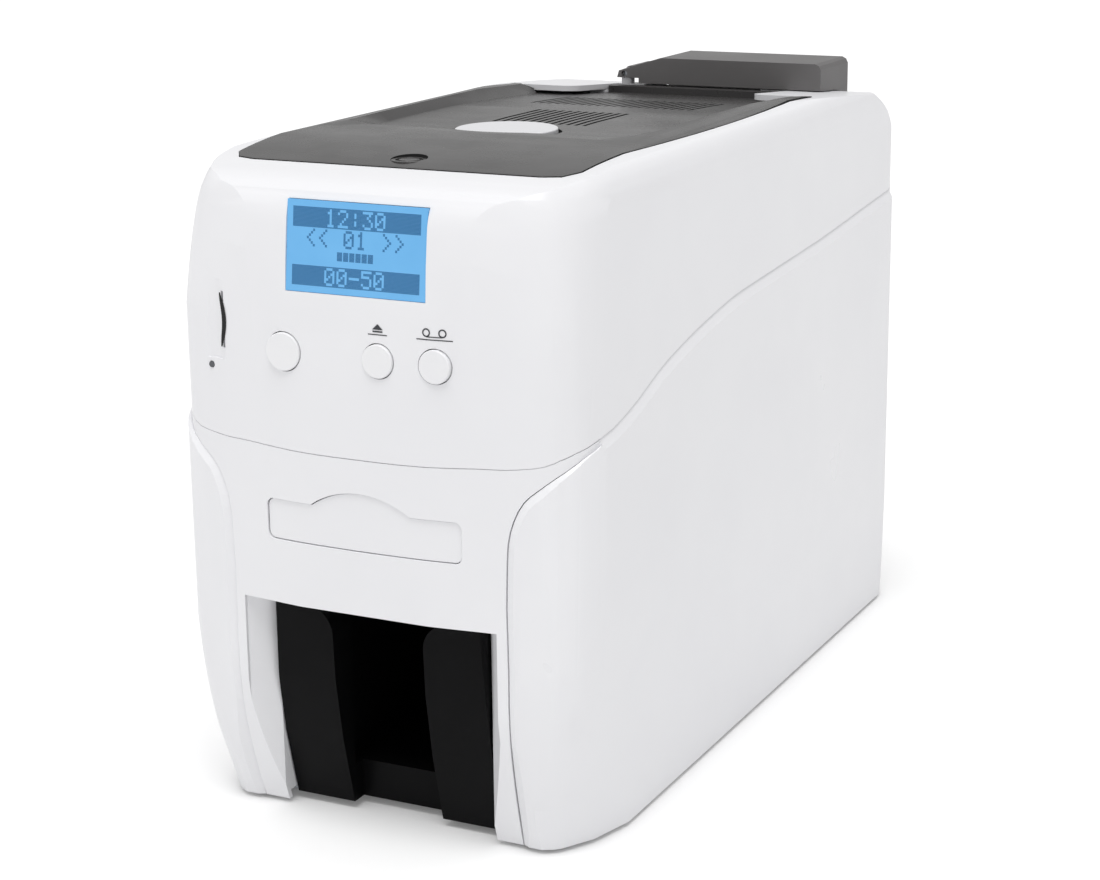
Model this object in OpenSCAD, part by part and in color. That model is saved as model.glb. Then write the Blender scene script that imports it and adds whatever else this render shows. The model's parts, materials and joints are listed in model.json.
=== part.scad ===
// Desktop ID card printer: cards go in at the rear, are printed under the
// hinged top cover and drop into the black hopper at the front.
// X to the right, Y to the rear, Z up, origin under the middle of the body.

/* [Body] */
// Width over the side panels
body_w = 187; // [184:0.5:192]
// Depth of the side panels' outline
body_d = 392; // [388:0.5:398]
// Height of the crown of the top over the table
body_h = 277; // [275:0.5:281]
// Height of the side panels' lower edge over the table
body_lift = 2; // [1.5:0.1:2.8]
// Wall thickness of the mouldings
wall = 2.6; // [2.2:0.1:3]
// How far the side panels stand proud of the other shells
proud = 1.4; // [1:0.1:1.8]
// Gap along the seams between shells
seam_gap = 0.4; // [0.3:0.05:0.6]

/* [Display and keys] */
// Width of the display window
lcd_w = 62.4; // [58:0.2:66]
// Height of the display window
lcd_h = 36; // [32:0.2:38]
// From the crown of the top down to the middle of the display window
lcd_drop = 34; // [32:0.5:36]
// From the crown of the top down to the row of keys
key_drop = 76; // [73:0.5:79]
// Diameter of the power key
power_key_d = 15.4; // [14:0.1:16]
// Diameter of the two small keys
small_key_d = 13.4; // [12:0.1:14]
// Gap round each key
key_gap = 0.4; // [0.3:0.05:0.5]

/* [Top cover] */
// Depth of the dished floor of the top cover
dish_d = 3.4; // [2.6:0.1:3.8]
// Radius of the round release button
release_r = 23; // [20:0.5:24]
// Slots in the front vent
front_slots = 12; // [8:1:13]
// Slots in the rear vent
rear_slots = 20; // [14:1:21]
// Width of a vent slot
slot_w = 1.8; // [1.4:0.1:2.2]

/* [Cards] */
// Width of the card pocket
pocket_w = 56; // [55:0.5:57]
// Length of the card pocket
pocket_l = 88; // [87:0.5:89]
// Height of the card path over the table
path_z = 132; // [131:0.5:133]

/* [Output opening] */
// Width of the opening in the front
mouth_w = 116; // [112:0.5:118]
// Height of the top of the opening
mouth_z = 96; // [94:0.5:98]
// Width over the output hopper
tray_w = 97.6; // [96:0.2:98]
// Finger gap between the hopper's columns
finger_w = 42; // [36:0.5:46]

/* [Rollers] */
// Radius of the feed rollers
roller_r = 8; // [7.5:0.1:8.2]
// Radius of the platen roller
platen_r = 9; // [8.5:0.1:9.2]
// Radius of the roller shafts
shaft_r = 3; // [2.5:0.1:3.2]
// Radius of the pinch rollers
pinch_r = 6; // [5.5:0.1:6.2]
// Radial clearance of a shaft in its bearing
bearing_gap = 0.05; // [0.02:0.01:0.08]

/* [Hidden] */
hw = body_w / 2;
lcd_z = body_h - lcd_drop;
key_z = body_h - key_drop;
hd = body_d / 2;
big = 500;
white = "#f4f4f6";
charcoal = "#3a3838";
smoke = "#4a4646";
steel = "#a9adb0";
rubber = "#242424";

// Smooth curve through hand-set points, n steps to each span. Its slope at a point
// weighs the two spans that meet there by their lengths.
function slope(a, b, c, w) = let (p = norm(b - a), q = norm(c - b))
  p == 0 ? (c - b) * w / q : q == 0 ? (b - a) * w / p : w * ((b - a) * q / p + (c - b) * p / q) / (p + q);
function span(a, b, c, d, t) = let (w = norm(c - b), t2 = t * t, t3 = t2 * t)
  b * (2 * t3 - 3 * t2 + 1) + slope(a, b, c, w) * (t3 - 2 * t2 + t)
  + c * (3 * t2 - 2 * t3) + slope(b, c, d, w) * (t3 - t2);
function spline(p, n) = [for (i = [0 : len(p) - 2]) for (j = [0 : n - 1])
  span(p[max(i - 1, 0)], p[i], p[i + 1], p[min(i + 2, len(p) - 1)], j / n), p[len(p) - 1]];
function flip(p) = [for (i = [len(p) - 1 : -1 : 0]) [-p[i].x, p[i].y]];
// Second coordinate of a curve where its first coordinate is v
function along(p, v) = let (k = [for (i = [0 : len(p) - 2]) if (p[i].x <= v && v <= p[i + 1].x) i][0])
  p[k].y + (p[k + 1].y - p[k].y) * (v - p[k].x) / (p[k + 1].x - p[k].x);

// The three views that shape the body: plan, cross-section and side profile
plan_half = [[0, -hd], [30, -hd + 1], [hw - 42, -hd + 3.5], [hw - 24, -hd + 5.5], [hw - 10.5, -hd + 9.5],
  [hw - 4, -hd + 17], [hw - 0.7, -hd + 32], [hw, -hd + 62], [hw, 0], [hw, hd - 66], [hw - 1.2, hd - 30],
  [hw - 2.6, hd - 10], [hw - 6.5, hd - 2.5], [hw - 16, hd], [0, hd]];
section_half = [[0, 0], [hw - 3.4, 0], [hw - 2.9, 8], [hw - 2, 45], [hw - 0.7, 100], [hw, body_h - 127],
  [hw - 0.7, body_h - 75], [hw - 1.8, body_h - 40], [hw - 2.8, body_h - 20], [hw - 3.8, body_h - 9],
  [hw - 6.2, body_h - 4.4], [hw - 10, body_h - 2.2], [hw - 18, body_h - 0.6], [hw - 34, body_h], [0, body_h]];
crown = spline([[-hd + 24, body_h - 6.8], [-hd + 36, body_h - 5], [-hd + 58, body_h - 2.6],
  [-hd + 86, body_h - 1], [-60, body_h], [0, body_h], [50, body_h - 1], [hd - 106, body_h - 3],
  [hd - 66, body_h - 6],
  [hd - 36, body_h - 8.5], [hd - 20, body_h - 9.8], [hd - 9, body_h - 12.5]], 3);
side_front = spline([[-hd + 19, 0], [-hd + 15.5, 10], [-hd + 9.5, 31], [-hd + 4, 61], [-hd + 1, 95],
  [-hd, body_h - 147], [-hd + 0.3, body_h - 112], [-hd + 1, body_h - 72], [-hd + 2.2, body_h - 50], [-hd + 4, body_h - 30],
  [-hd + 6.2, body_h - 18], [-hd + 10, body_h - 12], [-hd + 16, body_h - 8.8], [-hd + 24, body_h - 6.8]], 3);
side_rear = spline([[hd - 9, body_h - 12.5], [hd - 3, body_h - 20], [hd - 0.6, body_h - 32],
  [hd, body_h - 48]], 3);
side_profile = concat(side_front, crown, side_rear, [[hd, 0]]);

// How far the front and rear corners fall back from the plan, over the height
front_tuck = [[14.5, 0], [11.5, 12], [6.5, 30], [3.2, 48], [1, 68], [-0.5, 92], [-0.5, body_h - 72],
  [0.8, body_h - 60], [3, body_h - 42], [6, body_h - 25], [8.6, body_h - 15], [13, body_h - 7],
  [20, body_h - 2], [31, body_h + 1]];
rear_tuck = [[-0.5, 0], [-0.5, body_h - 39], [1, body_h - 27], [4, body_h - 19], [9, body_h - 13],
  [16, body_h - 7], [26, body_h + 1]];
// Block whose face turned to direction a follows such a curve, on both sides of the body
module corner_form(a, s, curve, n) {
  d = max([for (p = plan_half) p.x * cos(a) + p.y * sin(a)]) - s;
  kz = (body_h - s) / body_h;
  intersection_for (m = [0, 1]) mirror([m, 0, 0]) rotate([90, 0, a])
    linear_extrude(height = 2 * big, center = true)
      polygon(concat([for (p = spline(curve, n)) [d - p.x, p.y * kz]], [[-big, body_h + 1], [-big, 0]]));
}
// Solid with the body's shape, drawn in by s all round
module body_form(s, n) {
  kx = (hw - s) / hw;
  ky = (hd - s) / hd;
  kz = (body_h - s) / body_h;
  plan = spline(plan_half, n);
  section = spline(section_half, n);
  intersection() {
    linear_extrude(height = big)
      polygon([for (p = concat(plan, flip(plan))) [p.x * kx, p.y * ky]]);
    rotate([90, 0, 0]) linear_extrude(height = big, center = true)
      polygon([for (p = concat(section, flip(section))) [p.x * kx, p.y * kz]]);
    rotate([90, 0, 90]) linear_extrude(height = big, center = true)
      polygon([for (p = side_profile) [p.x * ky, p.y * kz]]);
    intersection_for (a = [-30, -45, -60]) corner_form(a, s, front_tuck, n - 1);
    intersection_for (a = [-15, -75]) corner_form(a, s, [for (p = front_tuck) [p.x * 0.7, p.y]], n - 1);
    intersection_for (a = [30, 60]) corner_form(a, s, rear_tuck, n - 1);
  }
}
module body_skin(s) {
  difference() {
    body_form(s, 3);
    body_form(s + wall, 2);
  }
}

// Seam between the upper shell and what is below it, seen from the side
swoosh = [for (p = spline([[-hd - 4, 118], [-hd, 117], [-hd + 6, 114.5], [-hd + 12, 110],
  [-hd + 29, 105.5], [-hd + 47, 102], [-hd + 64, 97.5], [-hd + 86, 90], [-hd + 113, 83.5],
  [-hd + 141, 78.5], [-30, 75], [7, 72.5], [75, 68.5], [hd - 26, 60.5], [hd + 4, 58.5]], 3))
  [p.x, body_h - p.y]];
module above_seam(d) {
  rotate([90, 0, 90]) linear_extrude(height = big, center = true)
    polygon(concat([for (p = swoosh) [p.x, p.y + d]], [[hd + 4, 400], [-hd - 4, 400]]));
}
module below_seam(d) {
  rotate([90, 0, 90]) linear_extrude(height = big, center = true)
    polygon(concat([for (p = swoosh) [p.x, p.y - d]], [[hd + 4, body_lift], [-hd - 4, body_lift]]));
}
// Front edge of the side panels, seen from the front
panel_z = body_h - 102;
panel_edge = spline([[hw - 32, 0], [hw - 31.2, 30], [hw - 30.7, 80], [hw - 30.7, panel_z - 55],
  [hw - 29, panel_z - 37], [hw - 23.5, panel_z - 25], [hw - 15.5, panel_z - 18], [hw - 5.5, panel_z - 10],
  [hw + 3, panel_z]], 3);
panel_step_y = -hd + 30;
module panel_side(d) {
  rotate([90, 0, 0]) linear_extrude(height = big, center = true)
    polygon(concat([for (p = panel_edge) [p.x + d, p.y]], [[hw + 60, panel_z], [hw + 60, 0]]));
  translate([hw - 22 + d, panel_step_y, 0]) cube([60, big, big]);
}

module disc(r, h) { cylinder(r = r, h = h, $fn = 64); }
module bar_x(r, x0, x1, y, z) {
  translate([x0, y, z]) rotate([0, 90, 0]) cylinder(r = r, h = x1 - x0, $fn = 48);
}
module bar_y(r, x, y0, y1, z) {
  translate([x, y0, z]) rotate([-90, 0, 0]) cylinder(r = r, h = y1 - y0, $fn = 48);
}
module box(x0, x1, y0, y1, z0, z1) { translate([x0, y0, z0]) cube([x1 - x0, y1 - y0, z1 - z0]); }
// Flat plate with round corners, w by h, lying in XY
module round_plate(w, h, r, t) {
  linear_extrude(height = t) union() {
    square([w - 2 * r, h], center = true);
    square([w, h - 2 * r], center = true);
    for (x = [-1, 1], y = [-1, 1]) translate([x * (w / 2 - r), y * (h / 2 - r)]) circle(r = r, $fn = 32);
  }
}

// Front face of the two front shells, for what is set into it
face_y = -hd + proud;
function face_at(x, z) = (hd - proud) / hd
  * max(along(spline(plan_half, 3), abs(x)), along([for (p = side_front) [p.y, p.x]], z));
lcd_y = face_at(0, lcd_z) + 2;
lcd_lean = 6.5;

// Top opening, seen from above
cover_front_y = -hd + 36;
cover_side_y = hd - 97.4;
cover_hinge_y = hd - 54;
cover_hinge_z = body_h - 17;
cover_barrel_r = 5.5;
cover_end_y = cover_hinge_y + 1.5;
post_x = 46;
post_round = 9;
cover_gap = 0.5;
// How far the cover lies below the rim round it
cover_drop = 0.8;
cover_down = proud + cover_drop;
cover_end_gap = 9;
function cover_outline(g) = let (end_y = cover_end_y + g * cover_end_gap / cover_gap,
  e = spline([[hw - 16.5, cover_front_y + 9], [hw - 15, cover_front_y + 36], [hw - 13, cover_front_y + 86],
  [hw - 12, -12],
  [hw - 12.5, cover_side_y - 68.6], [hw - 15, cover_side_y]], 3)) concat(
  [[0, cover_front_y - g], [hw - 29, cover_front_y - g], [hw - 21, cover_front_y + 1.8 - g]],
  [for (p = e) [p.x + g, p.y]], [[hw - 15 + g, cover_side_y + g]],
  [for (t = [0 : 15 : 90]) [post_x + post_round - (post_round - g) * sin(t),
    cover_side_y + post_round - (post_round - g) * cos(t)]],
  [[post_x + g, end_y], [0, end_y]]);
module cover_plan(g, h) {
  linear_extrude(height = h) polygon(concat(cover_outline(g), flip(cover_outline(g))));
}

// Card path and rollers
roller_z = path_z - 0.3 - roller_r;
hopper_wall = 2.5;
hopper_y1 = hd - proud - wall - 2.9;
hopper_y0 = hopper_y1 - pocket_l - 2 * hopper_wall;
pickup_y = hopper_y0 + 29.9;
cleaning_y = hopper_y0 - 12.1;
platen_y = 0;
feed_y = (cleaning_y + platen_y) / 2;
exit_y = -60;
platen_z = path_z - 0.3 - platen_r;
pinch_z = path_z + 0.3 + pinch_r;
frame_x = 40;
frame_t = 2;
frame_top = 168;
frame_y0 = -72;
frame_y1 = hopper_y0 + 3.9;
pinch_shaft_r = 2.5;
pulley_r = 7;
pulley_x = 47;
pulley_w = 8;
motor_y = feed_y - 2;
motor_z = 66;
base_z = 3;
base_t = 2.5;
base_top = base_z + base_t;

module lcd_cut(w, h, d) {
  translate([0, lcd_y, lcd_z]) rotate([-lcd_lean, 0, 0]) cube([w, d, h], center = true);
}
card_x = 30 - hw;
card_z = key_z + 9.5;
scoop_r = 13.2;
scoop_d = 1.2;
lamp_x = 24 - hw;
lamp_z = key_z - 9.5;
key_x = [-32.5, 10.3, 35];
key_d = [power_key_d, small_key_d, small_key_d];

// Hinge lines
cover_pin_r = 2;
lid_x0 = -46;
lid_x1 = 64;
lid_y0 = hd - 46;
lid_y1 = hd - 6;
lid_top = body_h + 4.5;
lid_hinge_x = -42;
lid_hinge_z = body_h - 4;
lid_pin_r = 1.5;
deck_z = body_h - 9.5;

module upper_shell() {
  color(white) difference() {
    union() {
      intersection() {
        body_skin(proud);
        above_seam(seam_gap / 2);
      }
      // Bosses that carry the cover's and the lid's hinge pins
      intersection() {
        for (s = [-1, 1]) translate([s * (post_x + 4.5), cover_hinge_y, cover_hinge_z])
          cube([8, 12, 12], center = true);
        body_form(proud + 1, 2);
      }
      for (y = [lid_y0 + 2.5, lid_y1 - 8]) {
        box(lid_hinge_x - 2.5, lid_hinge_x + 2.5, y, y + 5, deck_z - 6, lid_hinge_z);
        bar_y(2.5, lid_hinge_x, y, y + 5, lid_hinge_z);
      }
    }
    translate([0, 0, body_h - 30]) cover_plan(cover_gap, 60);
    // Mouth of the card hopper
    box(-pocket_w / 2 - 3.5, pocket_w / 2 + 3.5, lid_y0 + 2.5, lid_y1 - 3, body_h - 30, body_h + 10);
    lcd_cut(lcd_w, lcd_h, 30);
    for (i = [0 : 2]) bar_y(key_d[i] / 2 + key_gap, key_x[i], -hd - 5, -hd + 20, key_z);
    // Scoop and slit for the memory card near the left corner, and the lamp's hole under them
    translate([card_x - 5.5, face_at(card_x - 5.5, card_z) + scoop_d - scoop_r, card_z - 16])
      cylinder(r = scoop_r, h = 32, $fn = 96);
    translate([card_x, face_y, card_z]) rotate([0, 0, -8]) cube([1.6, 24, 23], center = true);
    bar_y(1.4, lamp_x, -hd - 5, board_y, lamp_z);
    for (s = [-1, 1]) bar_x(cover_pin_r, s > 0 ? post_x - 1 : -post_x - 9, s > 0 ? post_x + 9 : -post_x + 1,
      cover_hinge_y, cover_hinge_z);
    bar_y(lid_pin_r, lid_hinge_x, lid_y0, lid_y1, lid_hinge_z);
  }
}

cheek_x = tray_w / 2 + 0.7;
bay_y1 = -74;
module lower_front_shell() {
  color(white) difference() {
    union() {
      intersection() {
        body_skin(proud);
        below_seam(seam_gap / 2);
        difference() {
          box(-hw, hw, -hd - 5, -140, body_lift, 260);
          panel_side(-seam_gap);
          mirror([1, 0, 0]) panel_side(-seam_gap);
        }
      }
      // Splayed cheeks and side walls of the hopper bay
      for (s = [0, 1]) mirror([s, 0, 0]) intersection() {
        translate([0, 0, body_lift]) linear_extrude(height = mouth_z + wall - body_lift)
          polygon([[mouth_w / 2, -hd - 5], [mouth_w / 2 + 3, -hd - 5], [mouth_w / 2 + 3, -hd + 11],
            [cheek_x + wall, -hd + 20], [cheek_x + wall, bay_y1], [cheek_x, bay_y1],
            [cheek_x, -hd + 17], [mouth_w / 2, -hd + 7]]);
        body_form(proud, 2);
        box(0, hw, -hd, bay_y1, base_top + 0.3, 200);
      }
      // Ceiling of the opening
      intersection() {
        box(-mouth_w / 2 - 2, mouth_w / 2 + 2, -hd, -hd + 24, mouth_z, mouth_z + wall);
        body_form(proud, 2);
      }
    }
    translate([0, 0, -1]) linear_extrude(height = mouth_z + 1) for (s = [0, 1]) mirror([s, 0])
      polygon([[0, -hd - 5], [mouth_w / 2, -hd - 5], [mouth_w / 2, -hd + 7], [cheek_x, -hd + 17],
        [cheek_x, -hd + 40], [0, -hd + 40]]);
    translate([0, face_y + 12, 0]) rotate([90, 0, 0]) linear_extrude(height = 30) blank_outline(0.3);
  }
}

// Outline of the blank over the manual feed, with its arched top
blank_w = 88;
blank_h = 16.5;
arch_h = 7;
// Two thirds of the spare height above the opening lie under the blank
blank_z0 = mouth_z + (body_h - 117 - mouth_z - blank_h - arch_h) * 2 / 3;
blank_z1 = blank_z0 + blank_h;
arch_r = 39;
module blank_outline(g) {
  translate([0, (blank_z0 + blank_z1) / 2]) {
    square([blank_w - 6 + 2 * g, blank_z1 - blank_z0 + 2 * g], center = true);
    square([blank_w + 2 * g, blank_z1 - blank_z0 - 6 + 2 * g], center = true);
  }
  for (x = [-1, 1], z = [blank_z0 + 3, blank_z1 - 3]) translate([x * (blank_w / 2 - 3), z])
    circle(r = 3 + g, $fn = 32);
  intersection() {
    translate([0, blank_z1 + arch_h - arch_r]) circle(r = arch_r + g, $fn = 96);
    translate([0, blank_z1 + 3]) square([60, 12], center = true);
  }
}
module manual_feed_blank() {
  color(white) difference() {
    intersection() {
      body_form(proud + 0.8, 3);
      translate([0, face_y + 12, 0]) rotate([90, 0, 0]) linear_extrude(height = 30) blank_outline(0);
    }
    box(-50, 50, face_y + wall + 1.5, face_y + 30, 110, 160);
  }
}

module side_panel(s) {
  color(white) mirror([s, 0, 0]) difference() {
    union() {
      intersection() {
        body_skin(0);
        below_seam(seam_gap / 2);
        panel_side(0);
        box(0, big, -hd, hd - 14, 0, big);
      }
      // Lug for the rear panel's upper screw, set in under the rear panel's corner
      intersection() {
        body_form(wall / 2, 2);
        box(screw_x - 5, big, rear_in - 16, hd - 14.4, screw_z[1] - 5, screw_z[1] + 5);
      }
      intersection() {
        body_form(proud + wall + 0.4, 2);
        box(screw_x - 5, big, rear_in - 16, rear_in - 1, screw_z[1] - 5, screw_z[1] + 5);
      }
    }
    bar_y(1.5, screw_x, rear_in - 13, rear_in, screw_z[1]);
  }
}
module side_panel_left() { side_panel(1); }
module side_panel_right() { side_panel(0); }

// Rear panel with its fan grille and the openings for the sockets
fan_x = -52;
fan_z = 165;
fan_size = 40;
fan_t = 15;
fan_bore = 18.4;
screw_x = hw - 23.5;
screw_z = [22, 110];
port_z = 36;
port_x = [screw_x - 14, 20, -8, -42];
window_x = [-57, screw_x - 7];
rear_in = hd - proud - wall;
module rear_panel() {
  color(white) difference() {
    intersection() {
      body_skin(proud);
      below_seam(seam_gap / 2);
      box(-hw, hw, hd - 13.6, hd, body_lift, big);
    }
    for (i = [-4 : 4]) box(fan_x - 17 + abs(i) * 1.5, fan_x + 17 - abs(i) * 1.5, hd - 13, hd + 1,
      fan_z + i * 4 - 1.1, fan_z + i * 4 + 1.1);
    translate([(window_x[0] + window_x[1]) / 2, hd + 1, port_z + 0.5]) rotate([90, 0, 0])
      round_plate(window_x[1] - window_x[0], 19, 3, 20);
    for (x = [-screw_x, screw_x], z = screw_z) {
      bar_y(1.7, x, hd - 13, hd + 1, z);
      bar_y(3.6, x, hd - proud - 1.3, hd + 1, z);
    }
  }
}
// Plate behind the window in the rear panel, pierced for the sockets and the switch
module port_plate() {
  color(steel) difference() {
    box(window_x[0] - 3, window_x[1] + 1.6, rear_in - 1.8, rear_in, port_z - 10, port_z + 12.5);
    bar_y(6.2, port_x[0], rear_in - 3, rear_in + 1, port_z);
    for (i = [1 : 3]) let (w = [0, 14, 18, 20.6][i], h = [0, 13, 15, 15][i])
      box(port_x[i] - w / 2, port_x[i] + w / 2, rear_in - 3, rear_in + 1, port_z - h / 2, port_z + h / 2);
  }
}
module rear_screws() {
  color(steel) for (x = [-screw_x, screw_x], z = screw_z) {
    bar_y(1.5, x, rear_in - 8, hd - proud - 1.3, z);
    bar_y(3.2, x, hd - proud - 1.3, hd - proud - 0.3, z);
  }
}

module base_tray() {
  color(steel) difference() {
    union() {
      intersection() {
        body_form(proud + wall + 0.3, 2);
        box(-hw, hw, -hd + 28, rear_in - 1, base_z, base_top);
      }
      // Bosses for the lower screws of the rear panel, and rails under the output hopper
      for (x = [-screw_x, screw_x]) box(x - 5, x + 5, rear_in - 12, rear_in - 1, base_z, screw_z[0] + 6);
      for (s = [-1, 1]) box(s * 30 - 3, s * 30 + 3, tray_step_y - 3, bay_y1 - 2, base_z, base_top + 2.2);
    }
    // Open at the front, under the hopper's columns
    box(-cheek_x - 0.5, cheek_x + 0.5, -hd, tray_step_y + 3, base_z - 1, base_top + 5);
    for (x = [-screw_x, screw_x]) bar_y(1.5, x, rear_in - 13, rear_in, screw_z[0]);
    for (x = [-60 : 12 : 60]) box(x - 2, x + 2, 110, 150, 0, base_top + 1);
  }
}
foot_r = 8;
module rubber_feet() {
  color(rubber) for (x = [-1, 1], y = [50 - hd, hd - 32]) translate([x * (hw - 27.5), y, 0]) disc(foot_r, base_z);
}

// Top cover: crowned plate with a dished floor, vents and a round recess
module crown_slab(top, bottom) {
  rotate([90, 0, 90]) linear_extrude(height = 2 * hw, center = true)
    polygon(concat([for (p = crown) [p.x, p.y - top]],
      [for (i = [len(crown) - 1 : -1 : 0]) [crown[i].x, crown[i].y - bottom]]));
}
cover_t = 3;
skirt = 5;
release_gap = 0.8;
release_y = -63;
release_z = along(crown, release_y) - cover_down;
plug_y = -147;
plug_z = along(crown, plug_y) - cover_down;
// Solid through a row of cross-sections, each a list of points
module loft(rows) {
  n = len(rows[0]);
  m = len(rows);
  polyhedron(points = [for (r = rows) for (p = r) p], faces = concat(
    [[for (i = [n - 1 : -1 : 0]) i], [for (i = [0 : n - 1]) (m - 1) * n + i]],
    [for (j = [0 : m - 2]) for (i = [0 : n - 1]) for (t = [0, 1]) let (k = (i + 1) % n)
      t == 0 ? [j * n + i, (j + 1) * n + k, (j + 1) * n + i] : [j * n + i, j * n + k, (j + 1) * n + k]]));
}
dish_y = [-92, -80, -66, -50, -20, 10, 40, cover_hinge_y - 72, cover_hinge_y - 42, cover_hinge_y - 17,
  cover_hinge_y - 2];
dish_k = [0.02, 0.3, 0.8, 1, 1, 1, 1, 1, 1, 1, 1];
dish_floor_x = hw - 35;
dish_rim_x = hw - 18;
module dish_cut() {
  loft([for (i = [0 : len(dish_y) - 1]) let (y = dish_y[i], t = along(crown, y) - cover_down,
    k = dish_k[i], f = t - dish_d * k, w = dish_floor_x * (0.75 + 0.25 * k), r = dish_rim_x * (0.86 + 0.14 * k))
    [[-r - 12, y, t + 2.5], [-r, y, t + 0.02], [-w, y, f], [w, y, f], [r, y, t + 0.02], [r + 12, y, t + 2.5]]]);
}
module slot_row(count, pitch, y0, y1) {
  for (i = [0 : count - 1]) let (x = (i - (count - 1) / 2) * pitch)
    box(x - slot_w / 2, x + slot_w / 2, y0, y1, body_h - 30, body_h + 10);
}
// Distance from the hinge line that just clears the upper edge of a post
function post_reach(x) = norm([cover_hinge_y - cover_side_y - post_round
  + sqrt(max(0, pow(post_round - cover_gap, 2) - pow(max(0, post_x + post_round - x), 2))),
  body_h - 4 - cover_hinge_z]) + 0.2;
module top_cover() {
  color(charcoal) difference() {
    union() {
      intersection() {
        body_form(cover_down, 3);
        union() {
          intersection() {
            crown_slab(cover_down, cover_down + cover_t + dish_d);
            translate([0, 0, body_h - 40]) cover_plan(0, 80);
          }
          // Skirt round the edge, down inside the shell
          intersection() {
            crown_slab(cover_down, cover_down + cover_t + dish_d + skirt);
            translate([0, 0, body_h - 40]) difference() {
              cover_plan(0, 80);
              translate([0, 0, -1]) cover_plan(-wall, 82);
            }
          }
        }
      }
      // Ribs that stiffen the cover, and the tongue round the hinge pins
      for (x = [-55, 55]) intersection() {
        box(x - 1.5, x + 1.5, -140, 90, body_h - 14, body_h - 5);
        crown_slab(cover_down + cover_t, 16);
      }
      bar_x(cover_barrel_r, -post_x + 0.1, post_x - 0.1, cover_hinge_y, cover_hinge_z);
    }
    dish_cut();
    translate([0, release_y, body_h - 30]) disc(release_r + release_gap, 60);
    translate([0, plug_y, body_h - 30]) disc(7.5, 60);
    slot_row(front_slots, 4, -33, 14);
    slot_row(rear_slots, 4.2, 40, 83);
    // Slot in the front skirt for the latch
    box(-8.5, 8.5, cover_front_y - 5, cover_front_y + 8, latch_z, latch_z + 3.1);
    // The ends beside the posts are turned about the hinge line
    for (s = [0, 1]) mirror([s, 0, 0]) translate([0, cover_hinge_y, cover_hinge_z]) rotate([0, 90, 0])
      rotate_extrude($fn = 96) polygon(concat([[0, post_x]],
        [for (x = [0 : 1.5 : post_round]) [post_reach(post_x + x), post_x + x]],
        [[post_reach(hw), hw + 5], [0, hw + 5]]));
    for (s = [0, 1]) mirror([s, 0, 0])
      bar_x(cover_pin_r + bearing_gap, post_x - 10, post_x, cover_hinge_y, cover_hinge_z);
  }
}
module cover_plug() {
  color(charcoal) difference() {
    translate([0, plug_y, plug_z - 6]) disc(7.4, 5.6);
    translate([0, plug_y, plug_z - 1.2]) difference() {
      disc(5.6, 3);
      translate([0, 0, -1]) disc(4.2, 5);
    }
  }
}
module cover_hinge_pins() {
  color(steel) for (s = [-1, 1]) bar_x(cover_pin_r, s > 0 ? post_x - 9 : -post_x - 8.5,
    s > 0 ? post_x + 8.5 : -post_x + 9, cover_hinge_y, cover_hinge_z);
}
release_h = 5;
release_top = release_z - dish_d * 0.8 + 0.6;
module cover_release_button() {
  color(white) translate([0, release_y, release_top - release_h]) {
    disc(release_r, release_h);
    translate([0, 0, -4]) disc(9, 4);
  }
}
carrier_z = body_h - 21;
carrier_t = 3;
latch_z = carrier_z + carrier_t;
// Sliding bolt under the front of the cover
module cover_latch() {
  color(steel) {
    box(-8, 8, cover_front_y + 3, release_y - 26, latch_z + 0.3, latch_z + 2.8);
    box(-14, 14, release_y - 34, release_y - 26, latch_z + 0.3, latch_z + 2.8);
  }
}

arm_x = 36;
module head_carrier() {
  color(steel) difference() {
    union() {
      box(-arm_x - 2, arm_x + 2, release_y - 60, 74, carrier_z, carrier_z + carrier_t);
      for (s = [0, 1]) mirror([s, 0, 0]) {
        box(arm_x, arm_x + 2, -12, 12, path_z + 4, carrier_z);
        for (y = [-90, 66]) box(24, 32, y - 4, y + 4, carrier_z + carrier_t,
          min(along(crown, y - 4), along(crown, y + 4)) - cover_down - cover_t - dish_d - 0.05);
      }
    }
    translate([0, release_y, carrier_z - 1]) disc(12, 6);
    slot_row(7, 8, -33, 50);
  }
}
module print_head() {
  color("#3f4a44") {
    box(-arm_x + 0.3, arm_x - 0.3, -6.5, 6.5, path_z + 14, path_z + 30);
    box(-pocket_w / 2 - 2, pocket_w / 2 + 2, -6, 6, path_z + 4, path_z + 14);
    box(-pocket_w / 2, pocket_w / 2, -2, 2, path_z + 1, path_z + 4);
    for (s = [0, 1]) mirror([s, 0, 0]) box(arm_x - 0.3, arm_x, -6, 6, path_z + 16, path_z + 28);
  }
}
spool_z = carrier_z - 62;
supply_y = 44;
take_up_y = -44;
cassette_x = 33.3;
cassette_t = 2;
journal_r = 3;
guide_y = 17;
guide_z = path_z + 7;
guide_r = 2;
module ribbon_cassette() {
  color("#55585c") difference() {
    union() {
      for (s = [0, 1]) mirror([s, 0, 0]) {
        box(cassette_x, cassette_x + cassette_t, -68, 70, spool_z - 26, carrier_z);
        // Legs with the bars that lead the ribbon under the head
        for (y = [-guide_y, guide_y]) {
          box(cassette_x, cassette_x + cassette_t, y - 4, y + 4, path_z + 2.5, spool_z - 24);
          bar_x(guide_r, 0, cassette_x + 1, y, guide_z);
        }
      }
      box(-cassette_x, cassette_x, -68, -65, carrier_z - 34, carrier_z - 16);
      box(-cassette_x, cassette_x, 67, 70, carrier_z - 34, carrier_z - 16);
    }
    for (y = [supply_y, take_up_y]) bar_x(journal_r + bearing_gap, -40, 40, y, spool_z);
    box(-40, 40, -14, 14, spool_z - 34, spool_z + 21);
  }
}
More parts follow.
